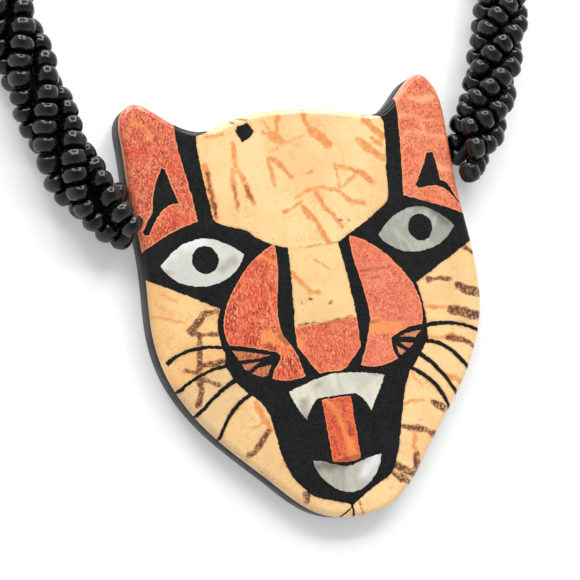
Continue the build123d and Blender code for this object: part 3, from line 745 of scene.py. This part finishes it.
def markField(layout, marks):
    # How far each point is outside the nearest marking, in mm; below zero it is within one. Soft noise
    # makes the line wander and its width swell.
    wander = [softNoise(*layout.T, markSet["wanderSize"], seed) for seed in (31, 32)]
    layout = layout + markSet["wander"] * np.stack(wander, axis=1)
    swell = 1 + markSet["swell"] * softNoise(*layout.T, markSet["swellSize"], 40)
    found = np.full(len(layout), markSet["reach"])
    low, high = layout.min(0) - 2, layout.max(0) + 2
    for width, points in marks:
        line = np.array(points)
        if (line.max(0) > low).all() and (line.min(0) < high).all():
            found = np.minimum(found, distanceTo(layout, line, closed=False)
                               - markSet["fullness"] * width * swell)
    return found


def markCover(name, place, grain, soft, ragged=0.45):
    # The share of a marking at a point: its distance field, roughened by noise, through a soft edge.
    rough = product(calc("SUBTRACT", noise(place, grain, 4.0, 0.65), 0.5), ragged)
    return spread(calc("ADD", attribute(place.id_data, name), rough), -soft, soft, 1.0, 0.0)


# A clear polished layer over every stone and shell.
polish = {"Specular IOR Level": 0.2, "Coat Weight": 0.8, "Coat Roughness": 0.05}


def coralMaterial(name, look):
    # Two broad tones and soft strokes of stretched noise; then a net of thin pale and dark lines, each where
    # a folded noise is near zero; then a pale chipped edge in patches, and the markings.
    made, tree, surface = newMaterial(name)
    place = inMillimetres(tree)
    slanted = inMillimetres(tree, (1.0, look["stretch"], 1.0), look["turn"])
    colour = toned(noise(place, 0.22, 2.0), 0.35, 0.68, look["base"], look["light"])
    patch = spread(noise(place, 0.4, 2.0), 0.34, 0.6, 0.5, 1.0)
    stroke = noise(slanted, 2.6, 3.0, 0.65, 0.7)
    colour = tinted(colour, spread(stroke, 0.5, 0.36, 0.0, look["stroke"]), look["dark"])
    colour = tinted(colour, spread(stroke, 0.54, 0.66, 0.0, look["stroke"]), look["pale"])
    for tone, size, strength in (("pale", 1.2, look["net"]), ("dark", 1.5, look["net"] * 1.3)):
        line = spread(folded(slanted, size, 1.5, 0.5, 2.0), 0.015, 0.06, strength, 0.0)
        colour = tinted(colour, product(line, patch), look[tone])
    edge = calc("ADD", attribute(tree, "inset"), product(stroke, 0.3))
    chips = spread(edge, 0.2, 0.36, look["chips"], 0.0)
    colour = tinted(colour, product(chips, patch), look["pale"])
    for mark, grain, soft, strength, tone in (("glow", 1.4, 0.4, 0.6, "glow"),
                                              ("dark", 2.0, 0.2, 0.55, "stain")):
        share = product(markCover(mark, place, grain, soft), strength)
        colour = tinted(colour, share, look[tone])
    finishMaterial(surface, colour, 0.34, stroke, 0.00001, **polish)
    return made


def creamMaterial(name, look):
    # Cream clouds; then, most in worn patches, a fine grain, specks, hair cracks and dirt along the edge;
    # then orange markings, and brown ones with a darker heart.
    made, tree, surface = newMaterial(name)
    place = inMillimetres(tree)
    colour = toned(noise(place, 0.13, 3.0), 0.38, 0.64, look["base"], look["light"])
    blush = spread(noise(place, 0.34, 3.0, 0.6, 0.8), 0.56, 0.72, 0.0, look["blush"])
    colour = tinted(colour, blush, look["warm"])
    grain = noise(place, 3.0, 4.0, 0.7)
    worn = spread(noise(place, 0.3, 3.0, 0.6), 0.4, 0.62, 0.25, 1.0)
    edge = calc("ADD", attribute(tree, "inset"), product(grain, 0.7))
    for share, tone in (
            (spread(grain, 0.52, 0.3, 0.0, look["grain"]), "dirt"),
            (spread(noise(place, 2.4, 2.0, 0.6), 0.68, 0.74, 0.0, look["speck"]), "specks"),
            (spread(folded(place, 0.5, 4.0, 0.6, 1.2), 0.0, 0.012, look["crack"], 0.0), "dirt"),
            (spread(edge, 0.3, 0.75, 0.8, 0.0), "dirt")):
        colour = tinted(colour, product(share, worn), look[tone])
    patch = spread(noise(place, 1.1, 3.0, 0.6), 0.3, 0.62, 0.5, 1.0)
    warm = product(product(markCover("warm", place, 1.6, 0.2), patch), look["warmth"])
    colour = tinted(colour, warm, look["warm"])
    mottled = spread(noise(place, 2.6, 4.0, 0.7), 0.38, 0.52, 0.42, 1.0)
    uneven = calc("SUBTRACT", noise(place, 1.3, 3.0), 0.5)
    heart = calc("ADD", attribute(tree, "dark"), uneven)
    tone = toned(heart, -0.25, 0.1, look["umber"], look["brown"])
    colour = mixed(product(markCover("dark", place, 2.0, 0.14, 0.6), mottled), colour, tone)
    finishMaterial(surface, colour, 0.34, grain, 0.000006, **polish)
    return made


def shellMaterial(name, look):
    # Pearl: soft slanted bands between two tones, a faint rose and green sheen, smoky and bright patches
    # where the markings lie, and a fine grain.
    made, tree, surface = newMaterial(name)
    place = inMillimetres(tree)
    slanted = inMillimetres(tree, (1.0, 0.5, 1.0), look["turn"])
    band = noise(slanted, 0.2, 2.0, 0.5, 1.2)
    colour = toned(band, 0.36, 0.66, look["base"], look["light"])
    sheen = noise(slanted, 0.4, 2.0, 0.5, 1.0)
    fine = noise(place, 3.4, 4.0, 0.75)
    for share, tone in (
            (spread(sheen, 0.52, 0.74, 0.0, 0.35), "rose"),
            (spread(sheen, 0.48, 0.28, 0.0, 0.3), "green"),
            (product(markCover("dark", place, 0.9, 0.7), look["smoke"]), "shade"),
            (product(markCover("glow", place, 0.6, 0.9), 0.8), "bright"),
            (spread(fine, 0.5, 0.72, 0.0, look["grain"]), "shade")):
        colour = tinted(colour, share, look[tone])
    finishMaterial(surface, colour, 0.26, band, 0.00001, **polish)
    return made


# Each stone's colours, from 0 to 255 as seen on a screen, its grain's turn in degrees, and its strengths.
# A piece takes its stone's look, with what the kinds below change in it.
coralLook = {"base": (222, 84, 58), "pale": (246, 158, 110), "dark": (146, 42, 28), "glow": (246, 158, 84),
             "stain": (120, 46, 34), "turn": 0.0, "stretch": 0.6, "stroke": 0.45, "net": 0.75, "chips": 0.9}
creamLook = {"base": (243, 198, 139), "light": (248, 209, 151), "warm": (222, 134, 62),
             "brown": (170, 98, 54), "umber": (100, 54, 40), "dirt": (196, 146, 92),
             "specks": (120, 84, 56), "blush": 0.2, "grain": 0.5, "speck": 0.5, "crack": 0.4, "warmth": 0.9}
shellLook = {"rose": (214, 206, 214), "green": (196, 214, 206), "bright": (232, 234, 234), "turn": 35.0,
             "smoke": 0.6, "grain": 0.3}
coralKinds = {
    "left_ear": {"light": (220, 118, 88), "stroke": 0.65},
    "right_ear": {"base": (236, 122, 86), "light": (246, 148, 108), "dark": (170, 60, 42), "stroke": 0.78,
                  "net": 0.7, "stretch": 0.9, "turn": 20.0, "glow": (254, 184, 136)},
    "left_muzzle": {"base": (222, 80, 56), "light": (234, 108, 72), "turn": -10.0, "stretch": 0.35,
                    "stroke": 0.55, "net": 0.85},
    "right_muzzle": {"base": (226, 112, 84), "light": (238, 138, 106), "dark": (180, 70, 56), "stroke": 0.5,
                     "net": 0.7, "stretch": 0.8, "turn": 40.0},
    "nose_tip": {"base": (220, 98, 70), "light": (234, 120, 84), "dark": (168, 58, 42), "net": 0.8,
                 "turn": 60.0},
    "tongue": {"base": (216, 74, 44), "light": (234, 104, 60), "stretch": 0.9, "net": 0.8, "stroke": 0.35,
               "pale": (238, 132, 86), "turn": 30.0},
    "left_sliver": {"base": (180, 104, 68), "light": (200, 136, 92), "pale": (222, 156, 108), "chips": 0.0},
    "right_sliver": {"base": (188, 112, 80), "light": (208, 138, 102), "pale": (226, 160, 120), "chips": 0.0},
}
creamKinds = {
    "forehead": {"base": (240, 194, 138)},
    "nose_bridge": {"base": (232, 194, 136), "light": (246, 206, 146), "crack": 0.15},
    "left_cheek": {"base": (233, 183, 119), "light": (241, 199, 137), "blush": 0.35, "crack": 0.8},
    "left_stripe": {"base": (224, 190, 138), "light": (233, 203, 150), "crack": 0.8},
    "left_jaw": {"base": (234, 193, 136), "light": (242, 207, 150), "crack": 0.6},
    "right_cheek": {"base": (236, 190, 132), "light": (243, 202, 144), "crack": 0.6},
    "right_stripe": {"crack": 0.6}, "right_jaw": {"crack": 0.8}, "chin_wedge": {},
}
shellKinds = {
    "left_eye": {"base": (202, 203, 194), "light": (222, 221, 206), "shade": (158, 150, 134), "smoke": 0.7},
    "right_eye": {"base": (154, 156, 143), "light": (175, 177, 160), "shade": (92, 94, 90), "smoke": 0.75,
                  "turn": 10.0},
    "upper_teeth": {"base": (200, 197, 182), "light": (224, 216, 198), "shade": (104, 100, 88), "turn": 80.0},
    "lower_teeth": {"base": (156, 150, 136), "light": (184, 178, 164), "shade": (96, 90, 80), "turn": 0.0,
                    "smoke": 0.75},
}
families = ((coralMaterial, coralLook, coralKinds), (creamMaterial, creamLook, creamKinds),
            (shellMaterial, shellLook, shellKinds))
for name, (piece, layout) in inlays.items():
    for maker, base, kinds in families:
        for kind in filter(name.startswith, kinds):
            piece.data.materials.append(bpy.data.materials.get(kind) or maker(kind, {**base, **kinds[kind]}))
    for field, marks in (("warm", warmMarks), ("dark", darkMarks), ("glow", glowMarks)):
        floatAttribute(piece, field, markField(layout, marks))
print("stones and shells coloured")

# Cast black resin: a fine grey grain, a few pale specks of stone dust, and worn patches that are less glossy.
resin, tree, surface = newMaterial("blackResin")
place = inMillimetres(tree)
grain = noise(place, 3.0, 4.0, 0.75)
worn = noise(place, 0.25, 3.0, 0.6)
tone = toned(grain, 0.36, 0.64, (11, 12, 13), (29, 30, 29))
dust = product(spread(noise(place, 1.6, 2.0, 0.6), 0.7, 0.76, 0.0, 0.6), spread(worn, 0.45, 0.65))
tone = tinted(tone, dust, (96, 88, 76))
# The outer wall is only sanded, and rougher the nearer it is to the polished front.
height = addNode(tree, "ShaderNodeSeparateXYZ", {0: place}).outputs["Z"]
sanded = product(spread(height, 0.6, 4.0, 0.02, 0.4), spread(height, 3.95, 4.5, 1.0, 0.0))
finishMaterial(surface, tone, calc("ADD", spread(worn, 0.35, 0.7, 0.18, 0.34), sanded),
               grain, 0.000004, **{"Specular IOR Level": 0.25})
body.data.materials.append(resin)

# Black glass: each bead has its own tone and gloss, clouded by noise, over a slightly lumpy surface.
beadMaterial, tree, surface = newMaterial("blackBeads")
place = inMillimetres(tree)
cloud = calc("ADD", product(noise(place, 1.1, 4.0, 0.6), 0.8), attribute(tree, "tone"))
tone = toned(cloud, 0.3, 1.4, (3, 3, 4), (17, 16, 16))
finishMaterial(surface, tone, spread(cloud, 0.2, 1.4, 0.06, 0.2),
               noise(place, 0.9, 4.0, 0.6), 0.00008, **{"Specular IOR Level": 0.42})

# Twisted thread: diagonal ribs across the strand, fuzzed by fine noise, with painted shade in the grooves.
threadMaterial, tree, surface = newMaterial("blackThread")
place = inMillimetres(tree)
ribs = addNode(tree, "ShaderNodeTexWave", {"Vector": place, "Scale": 2.4, "Distortion": 1.2, "Detail": 2.0},
               bands_direction="DIAGONAL").outputs[1]
fuzz = noise(place, 6.0, 4.0, 0.7)
# Painted shade and sheen: the colour is darker where the ribs sink and lighter on their crowns.
tone = mixed(product(ribs, fuzz), linear((10, 10, 11)), linear((38, 37, 38)))
finishMaterial(surface, tone, 0.8, calc("ADD", ribs, fuzz), 0.00008)
for rope in ropes.values():
    rope["piece"].data.materials.append(beadMaterial)
    rope["piece"].data.materials.append(threadMaterial)

# Silver: brushed scratches across it, soft dents, and a grey tarnish where noise is high.
silver, tree, surface = newMaterial("silver")
place = inMillimetres(tree)
brushed = noise(inMillimetres(tree, (0.35, 3.0, 3.0), 55.0), 3.0, 4.0, 0.75)
dents = noise(place, 0.55, 2.0)
tarnish = spread(noise(place, 0.7, 4.0, 0.7), 0.5, 0.75, 0.0, 0.7)
tone = toned(brushed, 0.35, 0.65, (142, 140, 136), (182, 180, 175))
tone = tinted(tone, tarnish, (84, 80, 73))
height = calc("ADD", product(brushed, 0.3), dents)
finishMaterial(surface, tone, spread(brushed, 0.3, 0.75, 0.26, 0.44), height, 0.00002, **{"Metallic": 1.0})
finishes = {"silver": silver, "bead_cord": threadMaterial}
for name, node in nodes.items():
    if slots[name] in finishes:
        node.material_slots[0].material = finishes[slots[name]]
print("resin, beads, thread and silver finished")

# A white floor, a window frame of four lamps, and white walls under a dimmer ceiling. Lengths in m.
stageSet = {"floorSize": 3.0, "floorTone": 0.9, "floorGlow": 0.17, "walls": 1.0, "wallTop": 0.25,
            "ceiling": 0.32, "frameAway": 0.62, "frameTurn": 84.0, "frameLift": 31.0, "frameSize": 0.62,
            "frameBar": 0.12, "framePower": 2.05, "crossPower": 0.6}
floorMesh = bpy.data.meshes.new("floor")
half = stageSet["floorSize"] / 2
floorMesh.from_pydata([(-half, -half, 0), (half, -half, 0), (half, half, 0), (-half, half, 0)], [],
                      [(0, 1, 2, 3)])
floor = bpy.data.objects.new("floor", floorMesh)
bpy.context.scene.collection.objects.link(floor)
floorMaterial, tree, surface = newMaterial("paper")
finishMaterial(surface, (*[stageSet["floorTone"]] * 3, 1), 0.9,
               **{"Emission Color": (1, 1, 1, 1), "Emission Strength": stageSet["floorGlow"]})
floorMesh.materials.append(floorMaterial)


def panel(name, across, up, width, height, power):
    # One oblong of the window: placed on the window's plane, facing the pendant.
    turn, lift = math.radians(stageSet["frameTurn"]), math.radians(stageSet["frameLift"])
    away = Vector((math.cos(turn) * math.cos(lift), math.sin(turn) * math.cos(lift), math.sin(lift)))
    sideways = Vector((-math.sin(turn), math.cos(turn), 0))
    data = bpy.data.lights.new(name, "AREA")
    data.shape = "RECTANGLE"
    data.size, data.size_y, data.energy = width, height, power
    lamp = bpy.data.objects.new(name, data)
    lamp.location = away * stageSet["frameAway"] + sideways * across + away.cross(sideways) * up
    lamp.rotation_euler = away.to_track_quat("Z", "Y").to_euler()
    bpy.context.scene.collection.objects.link(lamp)
    return lamp


reach = (stageSet["frameSize"] - stageSet["frameBar"]) / 2
size, bar, power = stageSet["frameSize"], stageSet["frameBar"], stageSet["framePower"]
crossPower, span = power * stageSet["crossPower"], size - 2 * bar
lamps = [panel("window_left", -reach, 0, bar, size, power), panel("window_right", reach, 0, bar, size, power),
         panel("window_top", 0, reach, span, bar, crossPower),
         panel("window_bottom", 0, -reach, span, bar, crossPower)]

world = bpy.data.worlds.new("world")
bpy.context.scene.world = world
world.use_nodes = True
tree = world.node_tree
tree.nodes.clear()
# White walls under a dimmer ceiling: the strength falls with the height that a ray looks at.
direction = addNode(tree, "ShaderNodeTexCoord").outputs["Generated"]
upward = addNode(tree, "ShaderNodeSeparateXYZ", {0: direction}).outputs["Z"]
strength = addNode(tree, "ShaderNodeMapRange", {0: upward, 1: stageSet["wallTop"], 2: 1.0,
                                                3: stageSet["walls"], 4: stageSet["ceiling"]}).outputs[0]
shown = addNode(tree, "ShaderNodeBackground", {0: (1, 1, 1, 1), 1: strength}).outputs[0]
addNode(tree, "ShaderNodeOutputWorld", {0: shown})
print("stage lit")
